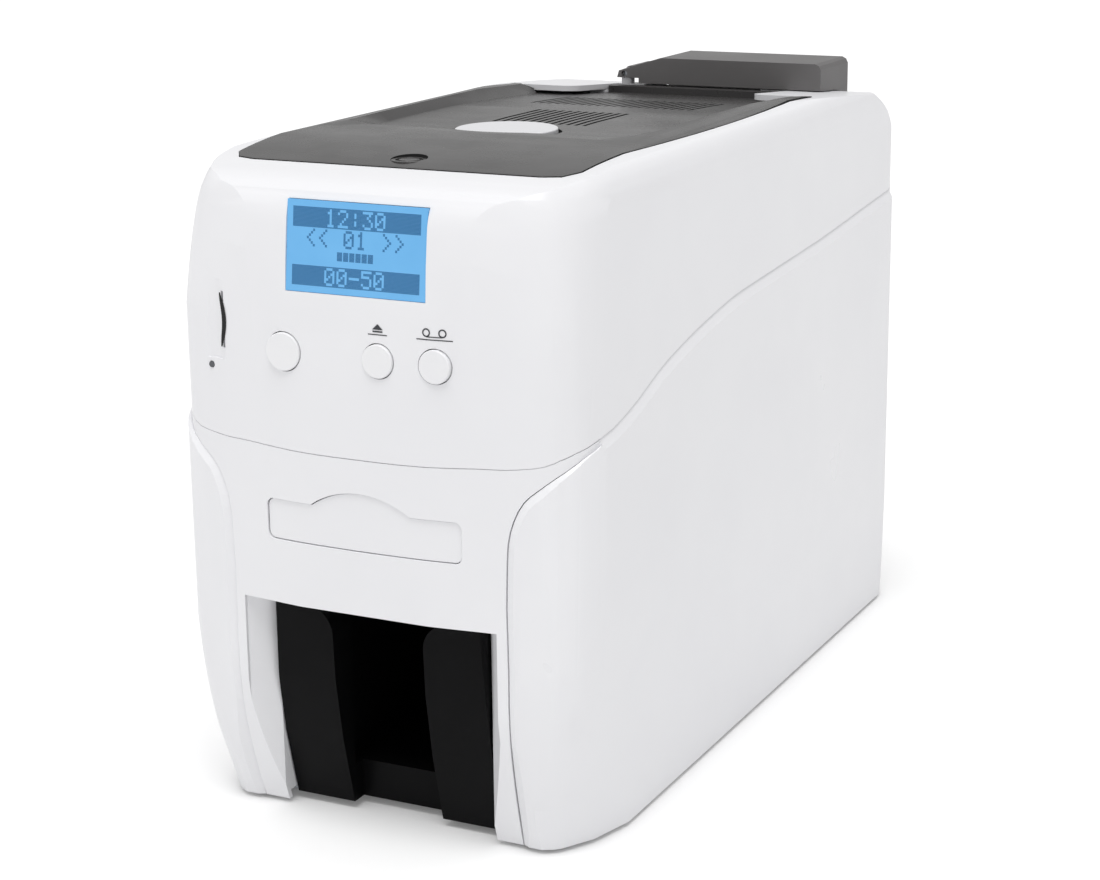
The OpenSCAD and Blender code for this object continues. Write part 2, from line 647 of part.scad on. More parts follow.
module spool(y, roll_r, flange_r) {
  bar_x(roll_r, -pocket_w / 2, pocket_w / 2, y, spool_z);
  for (x = [-31.5, 30]) bar_x(flange_r, x, x + 1.5, y, spool_z);
  bar_x(5, -32.8, 32.8, y, spool_z);
  bar_x(journal_r, -35, 35, y, spool_z);
}
supply_r = 19;
take_up_r = 9;
module supply_spool() { color("#e8e2d0") spool(supply_y, supply_r, 22); }
module take_up_spool() { color("#e8e2d0") spool(take_up_y, take_up_r, 18); }
// Ribbon from the supply roll, round the guide bars and under the head's edge, to the take-up roll
film_t = 0.25;
film_gap = 0.4;
module ribbon_film() {
  edge = path_z + 0.65;
  bend = guide_y - guide_r - film_gap;
  route = [[supply_y - supply_r - film_gap, spool_z - 2], [bend, guide_z], [bend - 0.6, guide_z - 1.4],
    [2.6, edge], [-2.6, edge], [0.6 - bend, guide_z - 1.4], [-bend, guide_z],
    [take_up_y + take_up_r + film_gap, spool_z - 2]];
  shift = [film_t, film_t, film_t, film_t, -film_t, -film_t, -film_t, -film_t];
  color("#6a3b60") rotate([90, 0, 90]) linear_extrude(height = pocket_w - 4, center = true)
    polygon(concat(route, [for (i = [len(route) - 1 : -1 : 0])
      [route[i].x + shift[i], route[i].y - (i > 1 && i < 6 ? film_t : 0)]]));
}
module ribbon_motor() {
  color(steel) bar_x(12, -cassette_x - cassette_t - 26, -cassette_x - cassette_t, take_up_y, spool_z);
}

// Smoked lid over the rear hopper, hinged along its left side
module lid_profile(g) {
  z0 = body_h - 20;
  polygon([[lid_x0 + g, lid_hinge_z - 2], [lid_x0 + g + 1, lid_hinge_z + 1.5 - g / 2],
    [lid_x0 + 24, lid_top - g], [lid_x1 - 3, lid_top - g], [lid_x1 - 1, lid_top - 1 - g / 2],
    [lid_x1 - g, lid_top - 3 - g / 2], [lid_x1 - g, z0], [lid_x0 + 12, z0], [lid_x0 + 12, lid_hinge_z - 2]]);
}
module hopper_lid() {
  color(smoke) difference() {
    union() {
      translate([0, lid_y1, 0]) rotate([90, 0, 0]) linear_extrude(height = lid_y1 - lid_y0) difference() {
        lid_profile(0);
        lid_profile(2);
        translate([-100, body_h - 30]) square([100 + lid_x1 - 3, 26]);
      }
      for (y = [lid_y0 + 2, lid_y1]) translate([0, y, 0]) rotate([90, 0, 0]) linear_extrude(height = 2)
        lid_profile(0);
      bar_y(3.2, lid_hinge_x, lid_y0 + 8, lid_y1 - 8.5, lid_hinge_z);
    }
    bar_y(lid_pin_r + bearing_gap, lid_hinge_x, lid_y0 - 1, lid_y1 + 1, lid_hinge_z);
    for (y = [lid_y0 + 2.2, lid_y1 - 8.3])
      box(lid_x0 - 1, lid_hinge_x + 3.2, y, y + 5.6, lid_hinge_z - 10, lid_top + 1);
    // The lower edge follows the deck
    body_form(proud - 0.5, 2);
  }
}
module lid_hinge_pin() {
  color(steel) bar_y(lid_pin_r, lid_hinge_x, lid_y0 + 2.5, lid_y1 - 3, lid_hinge_z);
}

// Input hopper with its card weight
hopper_top = cover_hinge_z - cover_barrel_r - 2.5;
hopper_x = pocket_w / 2;
module card_hopper() {
  color(charcoal) difference() {
    box(-hopper_x - hopper_wall, hopper_x + hopper_wall, hopper_y0, hopper_y1, path_z - 4, hopper_top);
    box(-hopper_x, hopper_x, hopper_y0 + hopper_wall, hopper_y1 - hopper_wall, path_z - 0.3, hopper_top + 1);
    box(-hopper_x, hopper_x, hopper_y0 - 1, hopper_y0 + hopper_wall + 1, path_z - 0.3, path_z + 1.3);
    box(-16, 16, pickup_y - 9.5, pickup_y + 9.5, path_z - 5, path_z + 1);
  }
}
weight_t = 3;
module card_weight() {
  color(steel) {
    translate([0, (hopper_y0 + hopper_y1) / 2, path_z])
      round_plate(pocket_w - 3, pocket_l - 14, 4, weight_t);
    box(-18, 18, hopper_y0 + 26, hopper_y0 + 60, path_z + weight_t, path_z + 12);
  }
}

// Rollers on their shafts; the drive side is at +X
module roller(y, z, r, w, tint) {
  color(tint) bar_x(r, -w / 2, w / 2, y, z);
  color(steel) bar_x(shaft_r, -frame_x - 5, pulley_x + pulley_w, y, z);
  pulley(y, z);
}
module pulley(y, z) { color("#2c2c2c") bar_x(pulley_r, pulley_x, pulley_x + pulley_w, y, z); }
module pickup_roller() { roller(pickup_y, roller_z, roller_r, 24, rubber); }
module cleaning_roller() { roller(cleaning_y, roller_z, roller_r, 60, "#7fb3c9"); }
module feed_roller() { roller(feed_y, roller_z, roller_r, 60, rubber); }
module platen_roller() { roller(platen_y, platen_z, platen_r, 60, rubber); }
module exit_roller() { roller(exit_y, roller_z, roller_r, 60, rubber); }
module pinch_roller(y) {
  color(rubber) bar_x(pinch_r, -26, 26, y, pinch_z);
  color(steel) bar_x(pinch_shaft_r, -frame_x - 4, frame_x + 4, y, pinch_z);
}
module cleaning_pinch() { pinch_roller(cleaning_y); }
module feed_pinch() { pinch_roller(feed_y); }
module exit_pinch() { pinch_roller(exit_y); }
module side_frame(s, extra) {
  color(steel) difference() {
    union() {
      mirror([s, 0, 0]) {
        box(frame_x, frame_x + frame_t, frame_y0, frame_y1, base_top, frame_top);
        // The pickup roller's bearing plate runs on under the hopper
        box(frame_x, frame_x + frame_t, frame_y1, pickup_y + 12, base_top, path_z + 2);
        box(frame_x, frame_x + 12, frame_y0, frame_y1, base_top, base_top + 2);
      }
    }
    for (y = [cleaning_y, feed_y, exit_y, pickup_y]) bar_x(shaft_r + bearing_gap, -60, 60, y, roller_z);
    bar_x(shaft_r + bearing_gap, -60, 60, platen_y, platen_z);
    for (y = [cleaning_y, feed_y, exit_y]) bar_x(pinch_shaft_r + bearing_gap, -60, 60, y, pinch_z);
    if (extra) bar_x(11, -60, 60, motor_y, motor_z);
    box(-60, 60, -56, 8, 30, 92);
  }
}
module side_frame_left() { side_frame(1, false); }
module side_frame_right() { side_frame(0, true); }
// Cross bars that hold the frames apart, and the card guides on them
module frame_ties() {
  color(steel) {
    for (y = [-66, frame_y1 - 6]) box(-frame_x, frame_x, y - 3, y + 3, 40, 48);
    for (y = [(platen_y + feed_y) / 2 - 1, (feed_y + cleaning_y) / 2]) box(-frame_x, frame_x, y - 5, y + 5, path_z - 3, path_z - 0.3);
    box(-frame_x, frame_x, -36, -24, path_z - 3, path_z - 0.3);
  }
}
motor_w = 42;
module drive_motor() {
  color("#303234") {
    difference() {
      translate([frame_x - 36, motor_y - motor_w / 2, motor_z - motor_w / 2]) cube([36, motor_w, motor_w]);
      bar_x(2.5 + bearing_gap, frame_x - 8, frame_x + 1, motor_y, motor_z);
      bar_x(rotor_r + 1, frame_x - 34, frame_x - 4, motor_y, motor_z);
    }
  }
}
rotor_r = 14;
// Rotor of the motor, its shaft and the belt pulley on it
module motor_pulley() {
  color(steel) {
    bar_x(rotor_r, frame_x - 32, frame_x - 6, motor_y, motor_z);
    bar_x(2.5, frame_x - 18, pulley_x + pulley_w, motor_y, motor_z);
  }
  pulley(motor_y, motor_z);
}
belt_w = 6;
belt_gap = 0.3;
belt_t = 1.4;
module belt_outline(r) {
  hull() {
    for (y = [exit_y, pickup_y]) translate([y, roller_z]) circle(r = r, $fn = 48);
    translate([motor_y, motor_z]) circle(r = r, $fn = 48);
  }
}
module drive_belt() {
  color("#1e1e1e") translate([pulley_x + 1, 0, 0]) rotate([90, 0, 90]) linear_extrude(height = belt_w)
    difference() {
    belt_outline(pulley_r + belt_gap + belt_t);
    belt_outline(pulley_r + belt_gap);
  }
}

// Output hopper: two front columns with round shoulders, a floor cut back
// between them and a pocket for the printed cards
tray_z0 = 3.5;
tray_step_z = base_top + 2.5;
tray_floor = 20;
tray_y0 = -hd + 12;
tray_step_y = -hd + 53;
tray_y1 = -hd + 30 + pocket_l;
tray_top = mouth_z - 2.5;
module tray_front_cut() {
  rotate([90, 0, 90]) linear_extrude(height = big, center = true)
    polygon([[-hd - 20, -1], [tray_y0 + 15, -1], [tray_y0 + 13.5, tray_z0], [tray_y0 + 6, 34],
      [tray_y0 + 1.5, 62], [tray_y0, 92], [tray_y0 - 2, 120], [-hd - 20, 120]]);
}
module output_hopper() {
  color("#1d1d1f") difference() {
    translate([0, (tray_y0 + tray_y1) / 2, tray_z0])
      round_plate(tray_w, tray_y1 - tray_y0, 3, tray_top - tray_z0);
    tray_front_cut();
    // Pocket for the cards
    box(-pocket_w / 2, pocket_w / 2, tray_y0 + 15, tray_y1 - 2.5, tray_floor, mouth_z);
    // Finger gap, flared at the top, with the floor cut back below it
    box(-finger_w / 2, finger_w / 2, tray_y0 - 5, tray_y0 + 21, -1, mouth_z);
    // Underside set up over the base and its rails
    box(-60, 60, tray_step_y, tray_y1 + 1, -1, tray_step_z);
    for (s = [0, 1]) mirror([s, 0, 0]) rotate([90, 0, 0])
      translate([finger_w / 2 - 0.5, tray_top - 12, -tray_y0 - 15]) linear_extrude(height = 22) difference() {
        square([12.5, 13]);
        translate([12.5, 0]) circle(r = 12, $fn = 64);
      }
    // Hollow sides behind the columns, open below
    for (s = [0, 1]) mirror([s, 0, 0])
      box(pocket_w / 2 + 2.5, tray_w / 2 - 2.5, tray_y0 + 20, tray_y1 - 2.5, -1, mouth_z - 5);
    box(-tray_w / 2 + 12, tray_w / 2 - 12, tray_y0 + 40, tray_y1 - 6, -1, tray_floor - 2.5);
  }
}

// Display, keys and the boards behind them
module lcd_module() {
  color("#2a5f93") translate([0, lcd_y, lcd_z]) rotate([-lcd_lean, 0, 0]) {
    translate([0, 2.4, 0]) cube([lcd_w - 1, 2.4, lcd_h - 1], center = true);
    translate([0, 4.4, 0]) cube([lcd_w + 6, 1.6, lcd_h - 6], center = true);
    translate([0, 6.7, 0]) cube([lcd_w - 8, 3, lcd_h - 8], center = true);
  }
}
module lcd_window() {
  color("#6fb2e6") lcd_cut(lcd_w - 0.4, lcd_h - 0.4, 2.4);
}
board_y = face_y + 14;
module key_board() {
  color("#2f6b3c") {
    box(-46, 50, board_y, board_y + 1.6, key_z - 14, key_z + 12);
    // Strip that carries the lamp beside the memory card slot
    box(-75, -46, board_y, board_y + 1.6, key_z - 14, key_z - 5.8);
    for (x = key_x) box(x - 3, x + 3, board_y - 3, board_y, key_z - 3, key_z + 3);
    // Stand-offs to the shell
    for (x = [-43, 47], z = [key_z - 11, key_z + 9]) bar_y(2.2, x, face_at(x, z) + wall + 0.7, board_y, z);
  }
}
key_out = 1.2;
key_travel = 1;
module key_cap(i) {
  color(white) bar_y(key_d[i] / 2, key_x[i], face_at(key_x[i], key_z) - key_out,
    board_y - 3.3 - key_travel, key_z);
}
module power_button() { key_cap(0); }
module eject_button() { key_cap(1); }
module ribbon_button() { key_cap(2); }
module status_led() {
  color("#8a8f94") bar_y(1.2, lamp_x, face_at(-lamp_x, lamp_z) - 0.2, board_y, lamp_z);
}
module memory_card_slot() {
  color("#c9cbd0") difference() {
    translate([card_x + 1, face_y + 14.6, card_z]) rotate([0, 0, -8]) cube([9, 10, 30], center = true);
    translate([card_x + 1, face_y + 8, card_z]) rotate([0, 0, -8]) cube([1.6, 14, 23], center = true);
  }
}
board_x = 19.5 - hw;
module main_board() {
  color("#2f6b3c") {
    box(board_x, board_x + 1.6, -60, 130, base_top + 4, 130);
    box(board_x + 1.6, board_x + 5, 20, 46, 60, 86);
    box(board_x + 1.6, board_x + 12, 90, 104, 40, 70);
    for (y = [-50, 120]) box(board_x - 4, board_x + 6, y - 4, y + 4, base_top, base_top + 4);
  }
}
module port_block() {
  color("#2f6b3c") {
    box(window_x[0] - 3, window_x[1] + 1.5, rear_in - 40, rear_in - 2.2, port_z - 12, port_z - 10.4);
    for (x = [-54, screw_x - 20]) box(x - 4, x + 4, rear_in - 38, rear_in - 30, base_top, port_z - 12);
  }
}
module power_inlet() {
  color("#202020") difference() {
    union() {
      bar_y(6, port_x[0], rear_in - 14, hd - proud, port_z);
      box(port_x[0] - 6, port_x[0] + 6, rear_in - 14, rear_in - 3, port_z - 10.4, port_z);
    }
    difference() {
      bar_y(3.2, port_x[0], rear_in - 9, hd + 1, port_z);
      bar_y(1, port_x[0], rear_in - 10, hd - proud - 1, port_z);
    }
  }
}
module data_sockets() {
  color("#b9bcc0") for (i = [1, 2]) let (w = [0, 13, 17][i], h = [0, 12, 14][i]) difference() {
    union() {
      box(port_x[i] - w / 2, port_x[i] + w / 2, rear_in - 18, hd - proud, port_z - h / 2, port_z + h / 2);
      box(port_x[i] - w / 2, port_x[i] + w / 2, rear_in - 18, rear_in - 3, port_z - 10.4, port_z);
    }
    box(port_x[i] - w / 2 + 1.5, port_x[i] + w / 2 - 1.5, rear_in - 12, hd + 1,
      port_z - h / 2 + 1.2, port_z + h / 2 - 1.5);
  }
}
rocker_y = rear_in - 6;
module power_switch() {
  color("#202020") intersection() {
    box(port_x[3] - 10, port_x[3] + 10, rear_in - 13, hd - proud - 0.2, port_z - 5.6, port_z + 5.6);
    bar_x(9.5, port_x[3] - 12, port_x[3] + 12, rocker_y, port_z);
  }
}
module fan_frame() {
  color("#262626") translate([fan_x, rear_in - 0.5, fan_z]) rotate([90, 0, 0]) difference() {
    round_plate(fan_size, fan_size, 4, fan_t);
    difference() {
      translate([0, 0, -1]) disc(fan_bore, fan_t + 2);
      translate([0, 0, fan_t - 3]) disc(7, 3);
      for (a = [45 : 90 : 360]) rotate(a) translate([0, -1.5, fan_t - 3]) cube([fan_bore + 1, 3, 3]);
    }
  }
}
module fan_rotor() {
  color("#1c1c1c") translate([fan_x, rear_in - 0.5, fan_z]) rotate([90, 0, 0]) translate([0, 0, 1]) {
    disc(8, fan_t - 4.4);
    for (a = [0 : 360 / 7 : 359]) rotate(a) translate([7, -1, 1]) rotate([32, 0, 0])
      cube([fan_bore - 8, 1.4, 9]);
  }
}

upper_shell();
lower_front_shell();
side_panel_left();
side_panel_right();
rear_panel();
base_tray();
rubber_feet();
port_plate();
rear_screws();
manual_feed_blank();
top_cover();
cover_release_button();
cover_latch();
cover_plug();
cover_hinge_pins();
head_carrier();
print_head();
ribbon_cassette();
supply_spool();
take_up_spool();
ribbon_film();
ribbon_motor();
hopper_lid();
lid_hinge_pin();
card_hopper();
card_weight();
pickup_roller();
cleaning_roller();
feed_roller();
platen_roller();
exit_roller();
cleaning_pinch();
feed_pinch();
exit_pinch();
side_frame_left();
side_frame_right();
frame_ties();
drive_motor();
motor_pulley();
drive_belt();
output_hopper();
lcd_module();
lcd_window();
key_board();
power_button();
eject_button();
ribbon_button();
status_led();
memory_card_slot();
main_board();
port_block();
power_inlet();
power_switch();
fan_frame();
fan_rotor();
data_sockets();
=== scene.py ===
# Looks of the ID card printer: moulded white shells, charcoal cover, smoked lid,
# black output hopper, backlit display. Metres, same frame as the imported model.
import json
import math

import bmesh
import bpy
from mathutils import Matrix, Vector
from mathutils.bvhtree import BVHTree


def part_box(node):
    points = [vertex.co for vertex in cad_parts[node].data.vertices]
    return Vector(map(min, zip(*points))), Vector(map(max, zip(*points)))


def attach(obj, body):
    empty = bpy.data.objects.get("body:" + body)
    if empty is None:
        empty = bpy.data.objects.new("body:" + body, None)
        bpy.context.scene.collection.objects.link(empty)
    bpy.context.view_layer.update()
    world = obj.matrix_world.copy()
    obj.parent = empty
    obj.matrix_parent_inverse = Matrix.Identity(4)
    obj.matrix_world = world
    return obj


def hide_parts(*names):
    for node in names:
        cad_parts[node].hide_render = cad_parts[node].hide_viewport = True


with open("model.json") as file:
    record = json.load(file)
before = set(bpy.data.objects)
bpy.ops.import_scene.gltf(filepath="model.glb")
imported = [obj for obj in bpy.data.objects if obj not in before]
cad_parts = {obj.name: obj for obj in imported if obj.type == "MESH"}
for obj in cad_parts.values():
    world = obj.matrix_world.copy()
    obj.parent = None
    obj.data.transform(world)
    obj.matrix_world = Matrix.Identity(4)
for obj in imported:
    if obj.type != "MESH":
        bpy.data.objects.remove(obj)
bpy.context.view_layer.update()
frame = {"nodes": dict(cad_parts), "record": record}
NODES = frame["nodes"]
BODY = {n: b for b, ns in frame["record"]["behaviour"]["bodies"].items() for n in ns}
MM = 0.001


def tint(code):
    """sRGB hex to a linear colour with alpha."""
    def lin(v):
        v /= 255
        return v / 12.92 if v <= 0.04045 else ((v + 0.055) / 1.055) ** 2.4
    return tuple(lin(int(code[i:i + 2], 16)) for i in (1, 3, 5)) + (1.0,)


def add(tree, kind, inputs=(), **settings):
    """Adds a node: settings are its properties, inputs are values or sockets by name or number."""
    n = tree.nodes.new(kind)
    for k, v in settings.items():
        setattr(n, k, v)
    for k, v in dict(inputs).items():
        if isinstance(v, bpy.types.NodeSocket):
            tree.links.new(v, n.inputs[k])
        else:
            n.inputs[k].default_value = v
    return n


def finish_of(name, base, spread, rough, rough_spread, patch_mm, grain_mm, grain_depth, wave_mm=0, wave_depth=0,
              **constants):
    """A moulded or rolled surface: faint patches of colour and gloss, a fine grain and a slow wave. Roughness
    runs from rough - rough_spread to rough + rough_spread; sizes and depths of grain and wave are in mm."""
    m = bpy.data.materials.new(name)
    m.use_nodes = True
    t = m.node_tree
    t.nodes.clear()
    where = add(t, "ShaderNodeTexCoord").outputs["Object"]
    patches = add(t, "ShaderNodeTexNoise", {"Vector": where, "Scale": 1 / (patch_mm * MM), "Detail": 3.0,
                                            "Roughness": 0.55})
    colour = add(t, "ShaderNodeMix", {"Factor": patches.outputs["Fac"], "A": tint(base), "B": tint(spread)},
                 data_type="RGBA")
    gloss = add(t, "ShaderNodeMapRange", {"Value": patches.outputs["Fac"], "From Min": 0.25, "From Max": 0.75,
                                         "To Min": rough - rough_spread, "To Max": rough + rough_spread})
    grain = add(t, "ShaderNodeTexNoise", {"Vector": where, "Scale": 1 / (grain_mm * MM), "Detail": 2.0})
    bump = add(t, "ShaderNodeBump", {"Height": grain.outputs["Fac"], "Strength": 1.0, "Distance": grain_depth * MM})
    if wave_mm:
        wave = add(t, "ShaderNodeTexNoise", {"Vector": where, "Scale": 1 / (wave_mm * MM), "Detail": 1.0})
        bump = add(t, "ShaderNodeBump", {"Height": wave.outputs["Fac"], "Strength": 1.0, "Distance": wave_depth * MM,
                                         "Normal": bump.outputs["Normal"]})
    p = add(t, "ShaderNodeBsdfPrincipled", {"Base Color": colour.outputs["Result"],
                                            "Roughness": gloss.outputs["Result"],
                                            "Normal": bump.outputs["Normal"], **constants})
    add(t, "ShaderNodeOutputMaterial", {"Surface": p.outputs["BSDF"]})
    return m


# ABS housing, injection moulded in a polished tool: near-white, even gloss with a slow ripple
white_abs = finish_of("white_abs_housing", "#f1f1f3", "#ebebee", 0.30, 0.03, 60, 0.5, 0.004, 9, 0.010,
                      **{"IOR": 1.5, "Specular IOR Level": 0.45})
# ABS key caps: the same plastic from a finer tool, a little duller
key_abs = finish_of("white_abs_keys", "#f2f2f3", "#ededf0", 0.36, 0.02, 12, 0.35, 0.003, **{"IOR": 1.5})
# ABS of the release button: the same white, a shade greyer from its matt tool
release_abs = finish_of("white_abs_release", "#e3e3e5", "#dddde0", 0.42, 0.02, 12, 0.35, 0.003, **{"IOR": 1.5})
# PC/ABS cover from a spark-eroded tool: charcoal with a fine matt grain
charcoal_abs = finish_of("charcoal_textured_abs", "#3a3838", "#343333", 0.27, 0.04, 25, 0.7, 0.03,
                         **{"IOR": 1.5, "Specular IOR Level": 0.6})
# Polystyrene hopper, polished tool: deep black with soft reflections
black_styrene = finish_of("black_polystyrene", "#0b0b0c", "#0f0f10", 0.34, 0.05, 18, 0.6, 0.006, 7, 0.010,
                          **{"IOR": 1.55, "Specular IOR Level": 0.06})
# Black ABS of sockets, fan and pulleys: dull and even
black_abs = finish_of("black_abs_small_parts", "#1a1a1b", "#222224", 0.5, 0.05, 9, 0.5, 0.02, **{"IOR": 1.5})
# Zinc-plated sheet steel: cool grey, rolled, with dull patches
zinc_steel = finish_of("zinc_plated_steel", "#c3c7cc", "#aeb3b9", 0.36, 0.08, 8, 0.5, 0.008, **{"Metallic": 1.0})
# Nitrile rubber of feet and rollers: ground, dead matt
black_rubber = finish_of("ground_nitrile_rubber", "#1b1b1b", "#262626", 0.85, 0.05, 6, 0.4, 0.04, **{"IOR": 1.5})
# Tacky silicone of the cleaning roller: blue with a wet gloss
blue_silicone = finish_of("tacky_silicone", "#4f8fb3", "#5a9abd", 0.22, 0.04, 8, 0.8, 0.01, **{"IOR": 1.43})
# Glass-filled nylon of cassette and spools: grey, slightly mottled
grey_nylon = finish_of("glass_filled_nylon", "#5c5f63", "#505357", 0.55, 0.05, 5, 0.4, 0.02, **{"IOR": 1.53})
# Dye ribbon: thin polyester film, glossy plum colour
dye_film = finish_of("dye_coated_film", "#6b3a63", "#7b4470", 0.2, 0.04, 12, 0.6, 0.004, **{"IOR": 1.6})
# Printed board: solder mask over glass fibre, a gloss green with a fine weave
solder_mask = finish_of("solder_mask_board", "#1f5f33", "#28713e", 0.35, 0.05, 5, 0.3, 0.01, **{"IOR": 1.55})
# Dead black finish: the unlit hollow behind the display and round the lamp, and painted shade on the cover's vent and
# outer walls and in the card slit's mouth, where shadow falls
dark_inside_and_painted_shade = finish_of("black_and_painted_shade", "#0d0d0e", "#131314", 0.7, 0.05, 10, 0.5, 0.01, **{"IOR": 1.5})
# Pad-printed ink of the marks over the keys: flat dark grey, thin and even
print_ink = finish_of("pad_printing_ink", "#34353a", "#3c3d42", 0.55, 0.03, 3, 0.3, 0.002, **{"IOR": 1.5})


def smoked_acrylic():
    """Smoked acrylic lid: polished, see-through brown-grey, darker where light crosses more of it."""
    m = finish_of("smoked_acrylic", "#7a7878", "#706e6e", 0.40, 0.03, 30, 1.0, 0.002,
                  **{"IOR": 1.49, "Specular IOR Level": 0.1})
    p = next(n for n in m.node_tree.nodes if n.type == "BSDF_PRINCIPLED")
    p.inputs["Transmission Weight"].default_value = 0.22
    return m


smoke = smoked_acrylic()


def merged_copy(name, whole=True):
    """A copy of a CAD node's mesh, joined at its points, and with its triangles merged where whole is true."""
    bm = bmesh.new()
    bm.from_mesh(NODES[name].data)
    bmesh.ops.remove_doubles(bm, verts=bm.verts, dist=0.004 * MM)
    bmesh.ops.dissolve_degenerate(bm, edges=bm.edges, dist=0.002 * MM)
    if whole:
        bmesh.ops.dissolve_limit(bm, angle_limit=math.radians(0.4), verts=bm.verts, edges=bm.edges,
                                 delimit={"NORMAL"})
    return bm


def plain(obj):
    """Turns an object with live modifiers into a finished mesh at the origin."""
    dg = bpy.context.evaluated_depsgraph_get()
    mesh = bpy.data.meshes.new_from_object(obj.evaluated_get(dg))
    obj.modifiers.clear()
    obj.data = mesh


def put(name, mesh, material):
    """A new object at the origin that shows the mesh in one finish."""
    o = bpy.data.objects.new(name, mesh)
    bpy.context.scene.collection.objects.link(o)
    mesh.materials.clear()
    mesh.materials.append(material)
    return o


def above(piece, x, y):
    """Height in mm of the first surface met from above at x, y, or None."""
    hit = piece.ray_cast(Vector((x * MM, y * MM, 0.4)), Vector((0, 0, -1)))[0]
    return hit.z / MM if hit else None


# The cover's dish in mm: depth in the CAD piece, how far the border is lifted over the shell's rim, and the
# distances from the middle of the foot and the brow of its side walls, first in the CAD piece, then as moulded
DISH_DEPTH, BORDER_LIFT = 3.4, 1.2
CAD_FOOT, CAD_BROW = 58.5, 75.5
FOOT, BROW = 65.5, 71.0
# Where the dish begins at the front: y in mm and the share of its depth reached there
DISH_START = ((-92, 0.02), (-80, 0.3), (-66, 0.8), (-50, 1.0))
DISH_FRONT, DISH_REAR = -94, 98
# x at which the cover's height is read, in the dish and on its border, and the height taken where nothing is
# met there, in front of the dish and along it
INSIDE_X, BORDER_X = 43, 79.5
FRONT_HEIGHT, DISH_HEIGHT = 270, 268


def dish_share(y):
    """Share of the dish's full depth at y."""
    for (y0, k0), (y1, k1) in zip(DISH_START, DISH_START[1:]):
        if y < y1:
            return k0 + (k1 - k0) * max(0, y - y0) / (y1 - y0)
    return 1.0


def steep_dish(bm):
    """Gives the cover's dish the moulded part's steep side walls and lifts its border over the shell's rim.
    Only the upper skin moves, so slots, holes, ribs and hinge stay where they are."""
    piece = BVHTree.FromBMesh(bm)
    crown = {y: above(piece, INSIDE_X, y) or FRONT_HEIGHT for y in range(-170, -90, 2)}
    crown.update({y: above(piece, BORDER_X, y) or (above(piece, INSIDE_X, y) or DISH_HEIGHT) + DISH_DEPTH
                  for y in range(-90, 150, 2)})
    front = min(v.co.y for v in bm.verts) / MM

    def crown_at(y):
        """Height of the border at y, between the readings 2 mm apart."""
        y = min(max(y, front + 1.5), 146)
        a = 2 * math.floor(y / 2)
        return crown[a] + (crown[a + 2] - crown[a]) * (y - a) / 2

    for v in bm.verts:
        x, y, z = v.co / MM
        floor = crown_at(y) - DISH_DEPTH
        if z < floor - 1.0:
            continue
        # From the middle outwards: each distance in the CAD piece and where the moulded piece has it
        k = dish_share(y)
        foot, brow = CAD_FOOT * (0.75 + 0.25 * k), CAD_BROW * (0.86 + 0.14 * k)
        steps = ((0, 0), (foot - 4, foot - 4), (foot, FOOT * (0.86 + 0.14 * k)), (brow, BROW * (0.93 + 0.07 * k)),
                 (brow + 6, brow + 6))
        if DISH_FRONT < y < DISH_REAR:
            for (a, to_a), (b, to_b) in zip(steps, steps[1:]):
                if a <= abs(x) < b:
                    v.co.x = math.copysign(to_a + (to_b - to_a) * (abs(x) - a) / (b - a), x) * MM
                    break
        v.co.z = (floor + (z - floor) * (1 + BORDER_LIFT / DISH_DEPTH)) * MM


# How far plug and release button are lifted, and the button's scale in plan, its middle and the height above
# which it is its head, in mm
PLUG_LIFT, BUTTON_LIFT = 1.1, 1.3
BUTTON_SHRINK, BUTTON_Y, BUTTON_HEAD = 0.96, -63, 262


def lift_plug(bm):
    """The round plug follows the lifted border of the cover."""
    bmesh.ops.translate(bm, verts=bm.verts, vec=(0, 0, PLUG_LIFT * MM))


def lift_button(bm):
    """The release button's head stands level with the lifted cover, in a gap that shows dark all round."""
    for v in bm.verts:
        if v.co.z > BUTTON_HEAD * MM:
            v.co = Vector((v.co.x * BUTTON_SHRINK, BUTTON_Y * MM + (v.co.y - BUTTON_Y * MM) * BUTTON_SHRINK,
                           v.co.z + BUTTON_LIFT * MM))


# Sloping shoulder of the side panels: its width on the face and its depth on the edge, how far the cutter runs
# out past the panel's ends, and how far it stands out from the face, all in mm
SHOULDER_WIDTH, SHOULDER_DEPTH, RUN_OUT, CUTTER_HEIGHT = 4.2, 2.1, 24, 4
# The rim's edges turn by more than this angle; it ends before the panel's rear edge and over its lower edge
RIM_ANGLE, RIM_REAR, RIM_LOW = math.radians(50), 181.4, 14


def longest_run(neighbours):
    """The longest open chain of points in a dictionary of each point's neighbours."""
    best = []
    for start in (k for k, near in neighbours.items() if len(near) == 1):
        run = [start]
        while True:
            after = [k for k in neighbours[run[-1]] if k not in run]
            if not after:
                break
            run.append(after[0])
        best = max(best, run, key=len)
    return best


